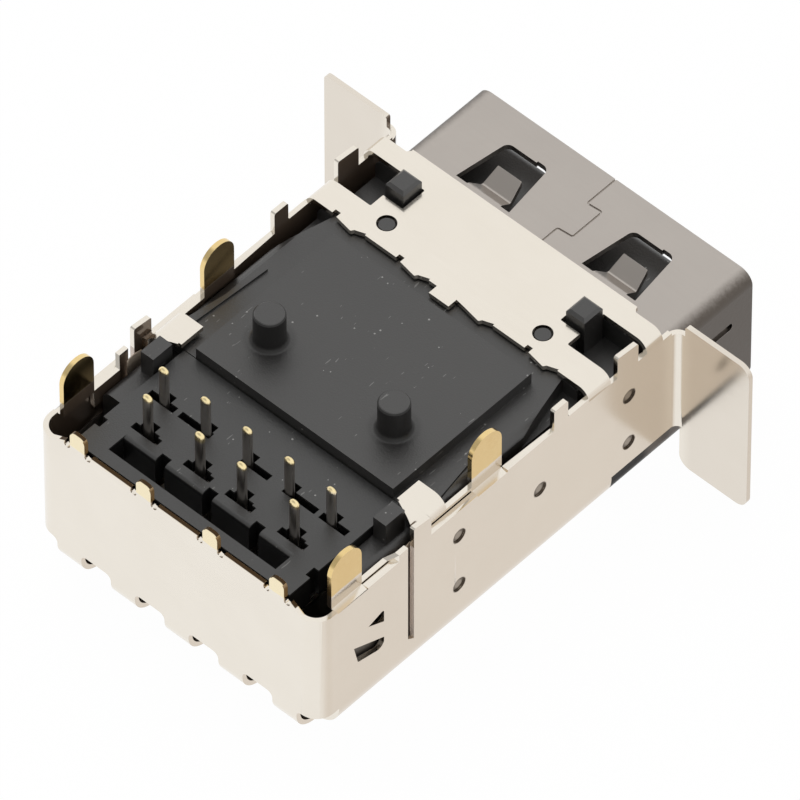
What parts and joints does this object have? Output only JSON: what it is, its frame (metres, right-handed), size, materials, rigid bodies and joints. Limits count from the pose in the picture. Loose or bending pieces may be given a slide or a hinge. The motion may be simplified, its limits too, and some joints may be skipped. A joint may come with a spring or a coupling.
{
  "type": "usb port connector",
  "caption": "Right-angle board receptacle: folded metal shield with panel wings, plug shell with a contact tongue, locating pegs and contact tails.",
  "frame": {"origin": "middle of the footprint, on the level of the wings' lowest edges", "axes": "+Y out of the plug mouth, +Z towards the board side with the contact tails, X across the part"},
  "size_m": [0.0204, 0.0228, 0.0096],
  "materials": {
    "outer_shield": "bright nickel",
    "inner_shell": "satin nickel",
    "insert": "black moulded",
    "tail_guide": "black moulded",
    "contact": "gold flash over nickel"
  },
  "bodies": {
    "root": {"outer_shield": "outer_shield", "inner_shell": "inner_shell", "insert": "insert", "tail_guide": "tail_guide", "front_contact_1": "contact", "front_contact_2": "contact", "front_contact_3": "contact", "front_contact_4": "contact", "front_contact_5": "contact", "rear_contact_1": "contact", "rear_contact_2": "contact", "rear_contact_3": "contact", "rear_contact_4": "contact"}
  },
  "joints": []
}
